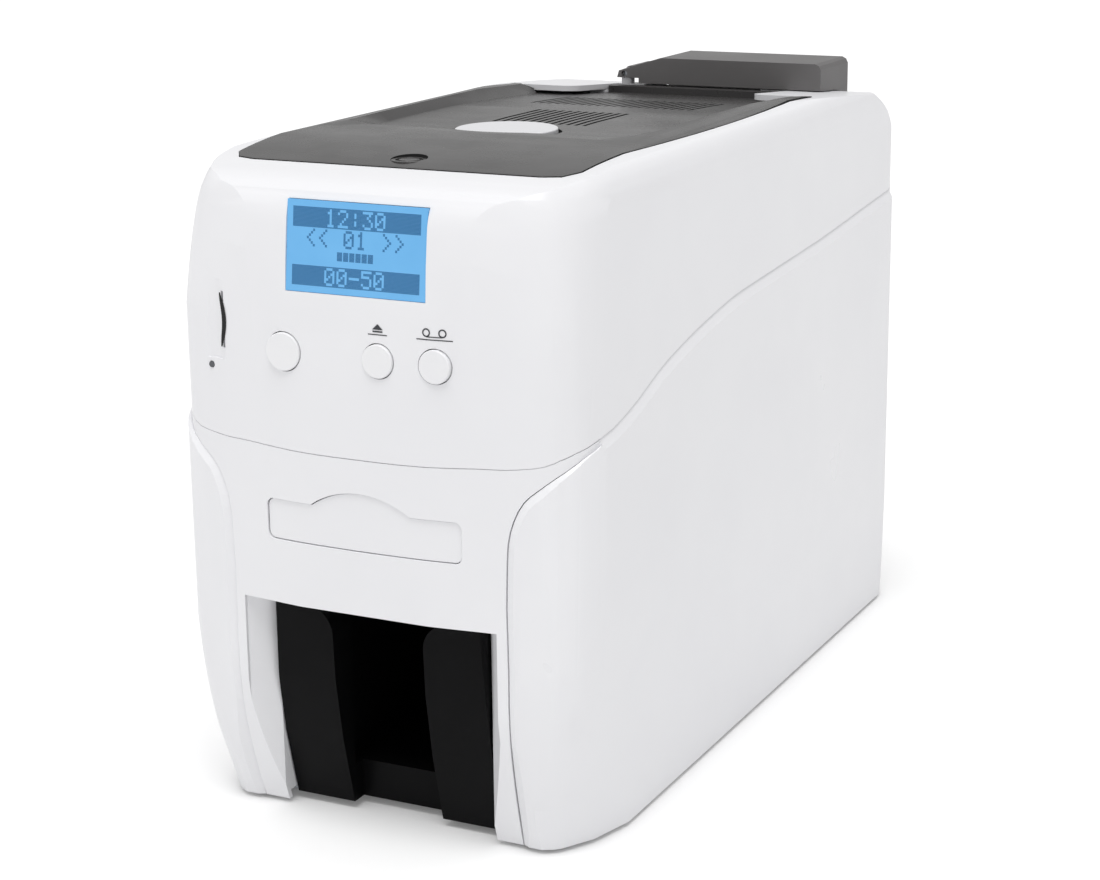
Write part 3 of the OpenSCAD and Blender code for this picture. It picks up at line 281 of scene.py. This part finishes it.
def panel_rim(bm):
    """Outer edge of the left side panel where it meets the shells, from the base up and back, as a list of
    points with the outward directions of the panel's face and of its edge."""
    rim = {}
    for e in bm.edges:
        if len(e.link_faces) != 2 or not e.is_convex or e.calc_face_angle(0) < RIM_ANGLE:
            continue
        x, y, z = (e.verts[0].co + e.verts[1].co) / 2 / MM
        away = Vector((x, y * 0.5, 0)).normalized()
        outer, wall = sorted(e.link_faces, key=lambda f: -f.normal.dot(away))
        up_or_front = wall.normal.z > -0.5 and wall.normal.y < 0.6
        if outer.normal.dot(away) > 0.5 and y < RIM_REAR and z > RIM_LOW and up_or_front:
            a, b = e.verts
            for v, other in ((a, b), (b, a)):
                r = rim.setdefault(v.index, [v.co.copy(), Vector(), Vector(), []])
                r[1] += outer.normal
                r[2] += wall.normal
                r[3].append(other.index)
    chain = longest_run({k: r[3] for k, r in rim.items()})
    points = [rim[chain[0]]]
    for k in chain[1:]:
        if (rim[k][0] - points[-1][0]).length > 1.5 * MM:
            points.append(rim[k])
    line = [(p, face.normalized(), edge.normalized()) for p, face, edge, _ in points]
    for end, inner in ((0, 1), (-1, -2)):
        p, face, edge = line[end]
        beyond = (p + (p - line[inner][0]).normalized() * RUN_OUT * MM, face, edge)
        line.insert(0 if end == 0 else len(line), beyond)
    return line


def shoulder_cutter():
    """A long wedge along the left panel's edge that takes the shoulder off."""
    bm = bmesh.new()
    rows = []
    for p, face, edge in panel_rim(merged_copy("side_panel_left")):
        slope = (edge * SHOULDER_WIDTH - face * SHOULDER_DEPTH).normalized() * MM
        low = p - face * SHOULDER_DEPTH * MM + slope
        high = p - edge * SHOULDER_WIDTH * MM - slope
        rows.append([bm.verts.new(q) for q in (low, high, high + face * CUTTER_HEIGHT * MM,
                                               low + face * (SHOULDER_DEPTH + CUTTER_HEIGHT) * MM)])
    for a, b in zip(rows, rows[1:]):
        for k in range(4):
            bm.faces.new((a[k], a[(k + 1) % 4], b[(k + 1) % 4], b[k]))
    bm.faces.new(rows[0])
    bm.faces.new(rows[-1][::-1])
    bmesh.ops.recalc_face_normals(bm, faces=bm.faces)
    return bm


def shoulder(o):
    """Cuts the sloping shoulder along the upper and front edge of a side panel."""
    bm = shoulder_cutter()
    if o.name.startswith("side_panel_right"):
        for v in bm.verts:
            v.co.x = -v.co.x
        bmesh.ops.reverse_faces(bm, faces=bm.faces)
    mesh = bpy.data.meshes.new("shoulder_cutter")
    bm.to_mesh(mesh)
    bm.free()
    cutter = bpy.data.objects.new("shoulder_cutter", mesh)
    bpy.context.scene.collection.objects.link(cutter)
    m = o.modifiers.new("shoulder", "BOOLEAN")
    m.operation, m.solver, m.object, m.use_hole_tolerant, m.use_self = "DIFFERENCE", "EXACT", cutter, True, True
    plain(o)
    bpy.data.objects.remove(cutter)


# Edges that turn by more than this are rounded
ROUNDED_ANGLE = math.radians(36)


def dress(name, material, edge_mm, crease, reshape):
    """The moulding that stands for a CAD node: rounded edges, and smooth shading up to the crease in degrees."""
    bm = merged_copy(name, edge_mm > 0)
    if reshape:
        reshape(bm)
    for f in bm.faces:
        f.smooth = True
    for e in bm.edges:
        e.smooth = not (len(e.link_faces) == 2 and e.calc_face_angle(0) > math.radians(crease))
    mesh = bpy.data.meshes.new(name + "_moulding")
    bm.to_mesh(mesh)
    bm.free()
    o = put(name + "_moulding", mesh, material)
    if name.startswith("side_panel"):
        shoulder(o)
    if edge_mm:
        b = o.modifiers.new("edge", "BEVEL")
        b.width, b.segments, b.limit_method = edge_mm * MM, 2, "ANGLE"
        b.angle_limit = ROUNDED_ANGLE
        b.harden_normals = True
        b.use_clamp_overlap = True
        b.miter_outer = "MITER_ARC"
        plain(o)
    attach(o, BODY[name])
    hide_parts(name)


# Pieces whose form is brought nearer to the moulded one
RESHAPED = {"top_cover": steep_dish, "cover_plug": lift_plug, "cover_release_button": lift_button}
# Angle in degrees over which shading breaks; on the upper shell a smaller one lets the shallow scoop show
CREASE, CREASES = 26, {"upper_shell": 17}
# Shells and other pieces that show, with the width of their rounded edges in mm
DRESSED = {
    "upper_shell": (white_abs, 0.3), "lower_front_shell": (white_abs, 0.3), "side_panel_left": (white_abs, 0.4),
    "side_panel_right": (white_abs, 0.4), "rear_panel": (white_abs, 0), "manual_feed_blank": (white_abs, 0.3),
    "top_cover": (charcoal_abs, 0.3), "cover_release_button": (release_abs, 0.6), "cover_plug": (charcoal_abs, 0.25),
    "power_button": (key_abs, 0.5), "eject_button": (key_abs, 0.5), "ribbon_button": (key_abs, 0.5),
    "output_hopper": (black_styrene, 0.5), "hopper_lid": (smoke, 0.35), "card_hopper": (charcoal_abs, 0),
    "power_switch": (black_abs, 0.4), "power_inlet": (black_abs, 0.3), "fan_frame": (black_abs, 0.4),
}
for piece, (material, edge) in DRESSED.items():
    dress(piece, material, edge, CREASES.get(piece, CREASE), RESHAPED.get(piece))

# Painted shade: the walls of the cover's vents and holes, and its outer wall over the gap, lie in shadow and take the
# dead black finish in its place
VENTS_REAR = 95
cover = bpy.data.objects["top_cover_moulding"].data
cover.materials.append(dark_inside_and_painted_shade)
for face in cover.polygons:
    if abs(face.normal.z) < 0.4 and face.center.y < VENTS_REAR * MM:
        face.material_index = 1

# Inner pieces keep their CAD shape and take the real one's finish
CARRIED = {
    zinc_steel: ("base_tray", "cover_hinge_pins", "cover_latch", "head_carrier", "lid_hinge_pin", "card_weight",
                 "side_frame_left", "side_frame_right", "frame_ties", "data_sockets", "memory_card_slot",
                 "ribbon_motor", "port_plate"),
    black_rubber: ("rubber_feet", "pickup_roller", "feed_roller", "platen_roller", "exit_roller", "cleaning_pinch",
                   "feed_pinch", "exit_pinch", "drive_belt"),
    blue_silicone: ("cleaning_roller",),
    grey_nylon: ("ribbon_cassette", "supply_spool", "take_up_spool", "print_head"),
    dye_film: ("ribbon_film",),
    solder_mask: ("key_board", "main_board", "port_block"),
    black_abs: ("fan_rotor", "motor_pulley", "drive_motor"),
}
for material, names in CARRIED.items():
    for n in names:
        NODES[n].data.materials.clear()
        NODES[n].data.materials.append(material)


def faced(name, axis_mm, rules):
    """Gives the faces of a turned piece their own finishes. Each rule is a material, the largest distance
    in mm from the piece's axis (which runs along X through y, z) and the span of x in mm it covers."""
    mesh = NODES[name].data
    for material, reach, x0, x1 in rules:
        mesh.materials.append(material)
        for f in mesh.polygons:
            points = [mesh.vertices[v].co / MM for v in f.vertices]
            far = max(math.hypot(p.y - axis_mm[0], p.z - axis_mm[1]) for p in points)
            if far < reach and all(x0 < p.x < x1 for p in points):
                f.material_index = len(mesh.materials) - 1


# Steel shafts and moulded pulleys of the rollers, and the dye ribbon wound on its cores
for piece, y, z in (("pickup_roller", 126, 123.7), ("cleaning_roller", 84, 123.7), ("feed_roller", 42, 123.7),
                    ("platen_roller", 0, 122.7), ("exit_roller", -60, 123.7)):
    faced(piece, (y, z), ((zinc_steel, 3.1, -46, 46.9), (black_abs, 7.1, 46.5, 56)))
for piece, y in (("cleaning_pinch", 84), ("feed_pinch", 42), ("exit_pinch", -60)):
    faced(piece, (y, 138.3), ((zinc_steel, 2.6, -45, 45),))
for piece, y, r in (("supply_spool", 44, 19.1), ("take_up_spool", -44, 9.1)):
    faced(piece, (y, 194), ((dye_film, r, -28.1, 28.1),))


def backlit(name, glow, strength):
    """Display film over a blue backlight: even glow, faint mottling of the diffuser."""
    m = bpy.data.materials.new(name)
    m.use_nodes = True
    t = m.node_tree
    t.nodes.clear()
    where = add(t, "ShaderNodeTexCoord").outputs["Object"]
    mottle = add(t, "ShaderNodeTexNoise", {"Vector": where, "Scale": 1 / (14 * MM), "Detail": 2.0})
    colour = add(t, "ShaderNodeMix", {"Factor": mottle.outputs["Fac"], "A": tint(glow[0]), "B": tint(glow[1])},
                 data_type="RGBA")
    p = add(t, "ShaderNodeBsdfPrincipled", {"Base Color": colour.outputs["Result"], "Roughness": 0.25, "IOR": 1.49,
                                            "Emission Color": colour.outputs["Result"], "Emission Strength": strength})
    add(t, "ShaderNodeOutputMaterial", {"Surface": p.outputs["BSDF"]})
    return m


# Backlit film of the display: pale blue, and the dark blue of its switched dots
lcd_glow = backlit("backlit_display_film", ("#5fa3d6", "#6aadde"), 0.22)
lcd_dots = backlit("switched_display_dots", ("#2d6c9c", "#3372a3"), 0.12)
# Frosted lens of the small lamp, unlit: grey diffuse plastic
lamp_lens = finish_of("frosted_lamp_lens", "#54565a", "#5e6064", 0.5, 0.03, 2, 0.3, 0.003, **{"IOR": 1.49})
for n, material in (("lcd_window", lcd_glow), ("lcd_module", dark_inside_and_painted_shade), ("status_led", lamp_lens)):
    NODES[n].data.materials.clear()
    NODES[n].data.materials.append(material)

# Dots of the display. Digits are the usual 5 by 7 pattern, a row of bits for each line.
DIGITS = {
    "0": "0e11131519110e", "1": "040c040404040e", "2": "0e11010204081f", "3": "1f02040201110e", "4": "02060a121f0202",
    "5": "1f101e0101110e", "6": "0608101e11110e", "7": "1f010204080808", "8": "0e11110e11110e", "9": "0e11110f01020c",
    ":": "00040400040400", "-": "0000001f000000", "/": "00010204081000", " ": "00000000000000",
    "<": "02040810080402", ">": "08040201020408", "#": "1f1f1f1f1f1f1f",
}
COLS, ROWS = 128, 64


def display_rows():
    """Set of switched dots (column, row from the top)."""
    on = set()

    def line(text, top, scale, band=False):
        width = len(text) * 6 * scale
        left = (COLS - width) // 2
        cells = set()
        for i, c in enumerate(text):
            for r in range(7):
                bits = int(DIGITS[c][r * 2:r * 2 + 2], 16)
                for k in range(5):
                    if bits >> (4 - k) & 1:
                        for dx in range(scale):
                            for dy in range(scale):
                                cells.add((left + (i * 6 + k) * scale + dx, top + r * scale + dy))
        if band:
            cells = {(x, y) for x in range(2, COLS - 2) for y in range(top - 1, top + 7 * scale + 1)} - cells
        on.update(cells)
    line("12:30", 2, 2, True)
    line("<< 01 >>", 18, 2)
    line("######", 35, 1)
    line("00-50", 48, 2, True)
    return on


def repeat_tree(name):
    """Puts a copy of one piece on every point, leaned back and turned a step further on each."""
    t = bpy.data.node_groups.new(name, "GeometryNodeTree")
    t.interface.new_socket("Geometry", in_out="INPUT", socket_type="NodeSocketGeometry")
    ids = {label: t.interface.new_socket(label, in_out="INPUT", socket_type=kind).identifier for label, kind in (
        ("Piece", "NodeSocketObject"), ("Lean", "NodeSocketFloat"), ("Turn", "NodeSocketFloat"),
        ("Material", "NodeSocketMaterial"))}
    t.interface.new_socket("Geometry", in_out="OUTPUT", socket_type="NodeSocketGeometry")
    given = add(t, "NodeGroupInput").outputs
    piece = add(t, "GeometryNodeObjectInfo", {"Object": given["Piece"]})
    lean = add(t, "ShaderNodeCombineXYZ", {"X": given["Lean"]})
    leaned = add(t, "FunctionNodeEulerToRotation", {0: lean.outputs[0]})
    laid = add(t, "GeometryNodeInstanceOnPoints", {"Points": given["Geometry"], "Instance": piece.outputs["Geometry"],
                                                  "Rotation": leaned.outputs[0]})
    step = add(t, "ShaderNodeMath", {0: add(t, "GeometryNodeInputIndex").outputs[0], 1: given["Turn"]},
               operation="MULTIPLY")
    turn = add(t, "ShaderNodeCombineXYZ", {"Z": step.outputs[0]})
    turned = add(t, "FunctionNodeEulerToRotation", {0: turn.outputs[0]})
    spun = add(t, "GeometryNodeRotateInstances", {"Instances": laid.outputs["Instances"],
                                                 "Rotation": turned.outputs[0]})
    real = add(t, "GeometryNodeRealizeInstances", {"Geometry": spun.outputs["Instances"]})
    done = add(t, "GeometryNodeSetMaterial", {"Geometry": real.outputs["Geometry"], "Material": given["Material"]})
    add(t, "NodeGroupOutput", {0: done.outputs["Geometry"]})
    return t, ids


def repeated(name, points, piece_mesh, lean, turn, material):
    """A finished mesh with the piece at every point."""
    mesh = bpy.data.meshes.new(name)
    mesh.from_pydata([tuple(p) for p in points], [], [])
    o = put(name, mesh, material)
    pattern = put(name + "_pattern", piece_mesh, material)
    tree, ids = repeat_tree(name)
    g = o.modifiers.new("repeat", "NODES")
    g.node_group = tree
    g[ids["Piece"]], g[ids["Lean"]], g[ids["Turn"]], g[ids["Material"]] = pattern, lean, turn, material
    plain(o)
    bpy.data.objects.remove(pattern)
    return o


# Lean of the display, how far its dots stand before the window's middle, the width and height they fill, and
# half a dot's side as a share of the pitch; lengths in mm
LCD_LEAN, DOTS_FRONT, DOTS_WIDE, DOTS_HIGH, DOT_SHARE = math.radians(6.5), 1.24, 58.5, 31.5, 0.485


def display_dots():
    """The switched dots, as thin squares just before the display's window."""
    lo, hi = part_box("lcd_window")
    mid = (lo + hi) / 2
    lean = LCD_LEAN
    normal = Vector((0, -math.cos(lean), math.sin(lean)))
    upward = Vector((0, math.sin(lean), math.cos(lean)))
    front = mid + normal * DOTS_FRONT * MM
    pitch_x, pitch_y = DOTS_WIDE * MM / COLS, DOTS_HIGH * MM / ROWS
    points = [front + Vector((1, 0, 0)) * ((c - COLS / 2 + 0.5) * pitch_x) + upward * ((ROWS / 2 - 0.5 - r) * pitch_y)
              for c, r in sorted(display_rows())]
    h = pitch_x * DOT_SHARE
    dot = bpy.data.meshes.new("dot")
    dot.from_pydata([(-h, -h, 0), (h, -h, 0), (h, h, 0), (-h, h, 0)], [], [(0, 1, 2, 3)])
    o = repeated("display_dots", points, dot, math.radians(90) - lean, 0.0, lcd_dots)
    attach(o, BODY["lcd_window"])


def screw_mesh():
    """Cross-recessed pan head on a plain shank, facing +Z, its seat at z = 0."""
    # Radius and height in mm, from the shank's end to the head's flat top
    profile = [(1.5, -8.0), (1.5, 0.0), (3.2, 0.0), (3.2, 0.35), (3.05, 0.65), (2.7, 0.88), (2.1, 1.0)]
    n = 40
    bm = bmesh.new()
    rings = [[bm.verts.new((r * math.cos(k * math.tau / n) * MM, r * math.sin(k * math.tau / n) * MM, z * MM))
              for k in range(n)] for r, z in profile]
    for low, high in zip(rings, rings[1:]):
        for k in range(n):
            bm.faces.new((low[k], low[(k + 1) % n], high[(k + 1) % n], high[k]))
    bm.faces.new(rings[0][::-1])
    # Cross recess: half the width and the reach of its arms, and how much narrower it is at its floor
    w, reach, taper, floor_z = 0.36, 1.45, 0.62, 0.1
    outline = [(reach, -w), (reach, w), (w, w), (w, reach), (-w, reach), (-w, w), (-reach, w), (-reach, -w),
               (-w, -w), (-w, -reach), (w, -reach), (w, -w)]
    corners = len(outline)
    lip = [bm.verts.new((x * MM, y * MM, profile[-1][1] * MM)) for x, y in outline]
    floor = [bm.verts.new((x * taper * MM, y * taper * MM, floor_z * MM)) for x, y in outline]
    for k in range(corners):
        bm.faces.new((lip[(k + 1) % corners], lip[k], floor[k], floor[(k + 1) % corners]))
    bm.faces.new(floor)
    rim = [bm.edges.get((rings[-1][k], rings[-1][(k + 1) % n])) for k in range(n)]
    edge = [bm.edges.get((lip[k], lip[(k + 1) % corners])) for k in range(corners)]
    bmesh.ops.triangle_fill(bm, use_beauty=True, use_dissolve=False, edges=rim + edge, normal=(0, 0, 1))
    bmesh.ops.recalc_face_normals(bm, faces=bm.faces)
    mesh = bpy.data.meshes.new("pan_head_screw")
    bm.to_mesh(mesh)
    bm.free()
    return mesh


# Where the rear panel's screws stand, the height of their heads, and how far each is turned on from the last
SCREW_X, SCREW_Z, HEAD_HEIGHT, SCREW_TURN = (-70, 70), (22, 110), 1.0, 0.7


def rear_screws():
    """The four screws of the rear panel, each left at its own angle."""
    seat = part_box("rear_screws")[1].y - HEAD_HEIGHT * MM
    points = [(x * MM, seat, z * MM) for x in SCREW_X for z in SCREW_Z]
    o = repeated("pan_head_screws", points, screw_mesh(), math.radians(-90), SCREW_TURN, zinc_steel)
    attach(o, BODY["rear_screws"])
    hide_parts("rear_screws")


def shell_front():
    """A function that gives the y of the upper shell's front at x, z in mm, or None where it is open."""
    shell = bpy.data.objects["upper_shell_moulding"].data
    tree = BVHTree.FromPolygons([v.co for v in shell.vertices], [tuple(p.vertices) for p in shell.polygons])

    def at(x, z):
        hit = tree.ray_cast(Vector((x * MM, -0.25, z * MM)), Vector((0, 1, 0)))[0]
        return hit.y if hit else None
    return at


front_at = shell_front()
# Middle of the card slit, its length, and how far the slit's painted shade and the marks stand off the shell, in mm
CARD_X, CARD_Z, CARD_LENGTH = -63.5, 210.5, 22
SLIT_OFF, MARK_OFF = 0.06, 0.12
# Middles of the two small keys, of the two spools in the second one's mark, and the marks' base line, in mm
EJECT_X, RIBBON_X, SPOOLS_X, KEY_MARK_Z = 10.3, 35.0, (31.6, 38.4), 211.2


def card_slit():
    """Painted shade: a dark bowed sheet on the shell's scoop in place of the shadow in the card slit's mouth, widest at
    its middle.
    """
    n = 24
    verts, faces = [], []
    for k in range(n + 1):
        z = CARD_Z - CARD_LENGTH / 2 + CARD_LENGTH * k / n
        bow = math.sin(math.pi * k / n)
        for x in (CARD_X - 0.35 + 0.9 * bow * bow, CARD_X + 0.25 + 2.4 * bow):
            met = [front_at(x + d, z) for d in (-2, 0, 2)]
            verts.append((x * MM, min(y for y in met if y is not None) - SLIT_OFF * MM, z * MM))
        if k:
            faces.append((2 * k - 2, 2 * k - 1, 2 * k + 1, 2 * k))
    mesh = bpy.data.meshes.new("card_slit")
    mesh.from_pydata(verts, [], faces)
    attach(put("card_slit", mesh, dark_inside_and_painted_shade), BODY["upper_shell"])


def key_marks():
    """Plain printed marks over the two small keys: an eject mark and a pair of spools, each underlined."""
    verts, faces = [], []

    def shape(points, loops):
        base = len(verts)
        for x, z in points:
            verts.append((x * MM, front_at(x, z) - MARK_OFF * MM, z * MM))
        faces.extend(tuple(base + k for k in loop) for loop in loops)

    def bar(x0, x1, z0, z1, parts=10):
        across = [x0 + (x1 - x0) * k / parts for k in range(parts + 1)]
        shape([(x, z) for z in (z0, z1) for x in across],
              [(k, k + 1, parts + 2 + k, parts + 1 + k) for k in range(parts)])

    def ring(x, z, outer, inner, n=28):
        around = [(math.cos(k * math.tau / n), math.sin(k * math.tau / n)) for k in range(n)]
        shape([(x + c * outer, z + d * outer) for c, d in around] + [(x + c * inner, z + d * inner) for c, d in around],
              [(k, (k + 1) % n, n + (k + 1) % n, n + k) for k in range(n)])

    for x, half in ((EJECT_X, 4.2), (RIBBON_X, 7.6)):
        bar(x - half, x + half, KEY_MARK_Z, KEY_MARK_Z + 0.4)
    bar(EJECT_X - 2.2, EJECT_X + 2.2, KEY_MARK_Z + 1.1, KEY_MARK_Z + 1.7)
    # The triangle of the eject mark, as steps
    steps, step = 6, 0.35
    for k in range(steps):
        half = 2.2 * (1 - k / steps)
        low = KEY_MARK_Z + 2.1 + step * k
        bar(EJECT_X - half, EJECT_X + half, low, low + step, 4)
    for x in SPOOLS_X:
        ring(x, KEY_MARK_Z + 2.9, 1.7, 1.15)
    bar(*SPOOLS_X, KEY_MARK_Z + 1.1, KEY_MARK_Z + 1.5)
    mesh = bpy.data.meshes.new("key_marks")
    mesh.from_pydata(verts, [], faces)
    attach(put("key_marks", mesh, print_ink), BODY["upper_shell"])


display_dots()
rear_screws()
card_slit()
key_marks()

# Camera where the photograph was taken from: its place in metres, its lens in mm and its turns in radians
CAMERA_AT, LENS, SENSOR = (0.465596, -0.963660, 0.409299), 78.003, 36
camera_data = bpy.data.cameras.new("camera")
camera_data.lens, camera_data.sensor_width = LENS, SENSOR
camera_data.clip_start, camera_data.clip_end = 0.05, 50
camera = bpy.data.objects.new("camera", camera_data)
bpy.context.scene.collection.objects.link(camera)
swing, dip, roll = 0.4603935, 0.2631832, -0.0117670
along = Vector((-math.sin(swing) * math.cos(dip), math.cos(swing) * math.cos(dip), -math.sin(dip)))
right = Vector((math.cos(swing), math.sin(swing), 0))
up = right.cross(along)
side = right * math.cos(roll) + up * math.sin(roll)
top = up * math.cos(roll) - right * math.sin(roll)
camera.matrix_world = Matrix.Translation(CAMERA_AT) @ Matrix((
    (side.x, top.x, -along.x), (side.y, top.y, -along.y), (side.z, top.z, -along.z))).to_4x4()
bpy.context.scene.camera = camera


# Half the floor's side in metres, the floor's own light in the camera's eye, the surround's level as light and
# as the camera sees it, and the lamps: name, direction, strength and softness in degrees
FLOOR, FLOOR_LIFT, SURROUND = 12, 0.12, (0.585, 1.0)
LAMPS = (("key", (-0.10, 0.26, -1.0), 1.68, 36), ("fill", (0.5, 0.9, -0.3), 0.14, 70))


def studio():
    """Pale floor that runs into a white surround, and soft lamps."""
    floor_mesh = bpy.data.meshes.new("floor")
    floor_mesh.from_pydata([(x * FLOOR, y * FLOOR, 0) for x, y in ((-1, -1), (1, -1), (1, 1), (-1, 1))], [],
                           [(0, 1, 2, 3)])
    m = bpy.data.materials.new("pale_floor")
    m.use_nodes = True
    t = m.node_tree
    t.nodes.clear()
    ray = add(t, "ShaderNodeLightPath")
    flat = add(t, "ShaderNodeBsdfDiffuse", {"Color": tint("#f2f2f2")})
    lift = add(t, "ShaderNodeMath", {0: ray.outputs["Is Camera Ray"], 1: FLOOR_LIFT}, operation="MULTIPLY")
    glow = add(t, "ShaderNodeEmission", {"Color": (1, 1, 1, 1), "Strength": lift.outputs[0]})
    both = add(t, "ShaderNodeAddShader", {0: flat.outputs[0], 1: glow.outputs[0]})
    add(t, "ShaderNodeOutputMaterial", {"Surface": both.outputs[0]})
    put("floor", floor_mesh, m)
    w = bpy.data.worlds.new("surround")
    bpy.context.scene.world = w
    w.use_nodes = True
    t = w.node_tree
    t.nodes.clear()
    ray = add(t, "ShaderNodeLightPath")
    level = add(t, "ShaderNodeMapRange", {"Value": ray.outputs["Is Camera Ray"], "To Min": SURROUND[0],
                                          "To Max": SURROUND[1]})
    sky = add(t, "ShaderNodeBackground", {"Color": (1, 1, 1, 1), "Strength": level.outputs["Result"]})
    add(t, "ShaderNodeOutputWorld", {"Surface": sky.outputs[0]})
    for name, way, strength, angle in LAMPS:
        lamp = bpy.data.lights.new(name, "SUN")
        lamp.energy, lamp.angle = strength, math.radians(angle)
        o = bpy.data.objects.new(name, lamp)
        o.rotation_mode = "QUATERNION"
        o.rotation_quaternion = Vector(way).to_track_quat("-Z", "Y")
        bpy.context.scene.collection.objects.link(o)


studio()
bpy.context.scene.view_settings.view_transform = "Standard"
